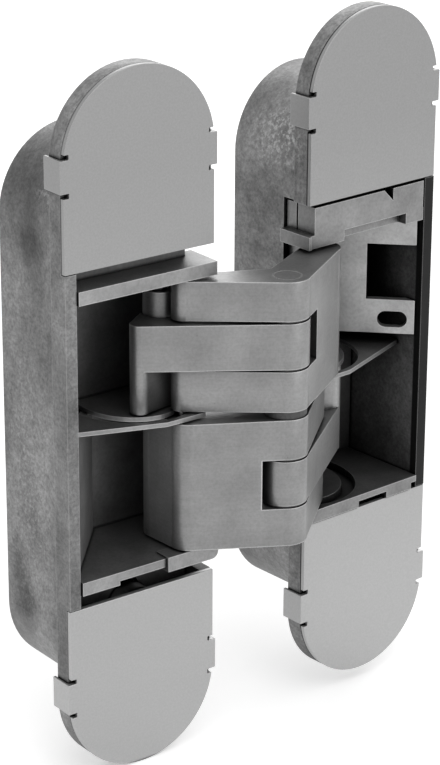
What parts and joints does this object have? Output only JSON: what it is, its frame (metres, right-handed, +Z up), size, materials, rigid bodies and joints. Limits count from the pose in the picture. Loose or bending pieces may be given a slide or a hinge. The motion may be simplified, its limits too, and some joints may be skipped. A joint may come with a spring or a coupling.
{
  "type": "concealed door hinge",
  "caption": "Concealed door hinge: two cast casings with satin end covers, adjustable inserts and interleaved crossing arms on one centre pin, opened past straight.",
  "frame": {"origin": "middle of the four fixing holes of the left flange, on the back of that flange where it seats", "axes": "+X to the right casing, +Y into the depth of the casings, +Z up along the pivots"},
  "size_m": [0.0822, 0.0332, 0.1273],
  "materials": {
    "die_cast_zinc": "rough mottled die casting",
    "satin_cover": "satin lacquered",
    "smooth_zinc": "smooth cast, satin",
    "satin_arm": "satin tumbled",
    "pin_steel": "ground steel"
  },
  "bodies": {
    "left_side": {"casing_left": "die_cast_zinc", "cover_left_upper": "satin_cover", "cover_left_lower": "satin_cover", "insert_left": "smooth_zinc", "guide_plate_left": "smooth_zinc", "pivot_pin_left": "pin_steel", "insert_screws_left": "pin_steel"},
    "left_arm": {"arm_left": "satin_arm", "tail_pins_right": "pin_steel"},
    "right_arm": {"arm_right": "satin_arm", "centre_hinge_pin": "pin_steel", "knuckle_washers": "pin_steel", "tail_pins_left": "pin_steel"},
    "right_side": {"casing_right": "die_cast_zinc", "cover_right_upper": "satin_cover", "cover_right_lower": "satin_cover", "insert_right": "smooth_zinc", "guide_plate_right": "smooth_zinc", "pivot_pin_right": "pin_steel", "insert_screws_right": "pin_steel"}
  },
  "joints": [
    {"name": "left_arm_fold", "type": "hinge", "parent": "left_side", "child": "left_arm", "pos_m": [0.01, 0.00445, 0], "axis": [0, 0, 1], "range_deg": [-108.02, 0]},
    {"name": "crossing_fold", "type": "hinge", "parent": "left_arm", "child": "right_arm", "pos_m": [0.02575, -0.01035, 0], "axis": [0, 0, 1], "range_deg": [0, 32.05]},
    {"name": "right_casing_fold", "type": "hinge", "parent": "right_arm", "child": "right_side", "pos_m": [0.04043, 0.00551, 0], "axis": [0, 0, 1], "range_deg": [-108.02, 0]}
  ],
  "couplings": [
    {"joint": "crossing_fold", "follows": "left_arm_fold", "ratio": -0.29666},
    {"joint": "right_casing_fold", "follows": "left_arm_fold", "ratio": 1}
  ]
}
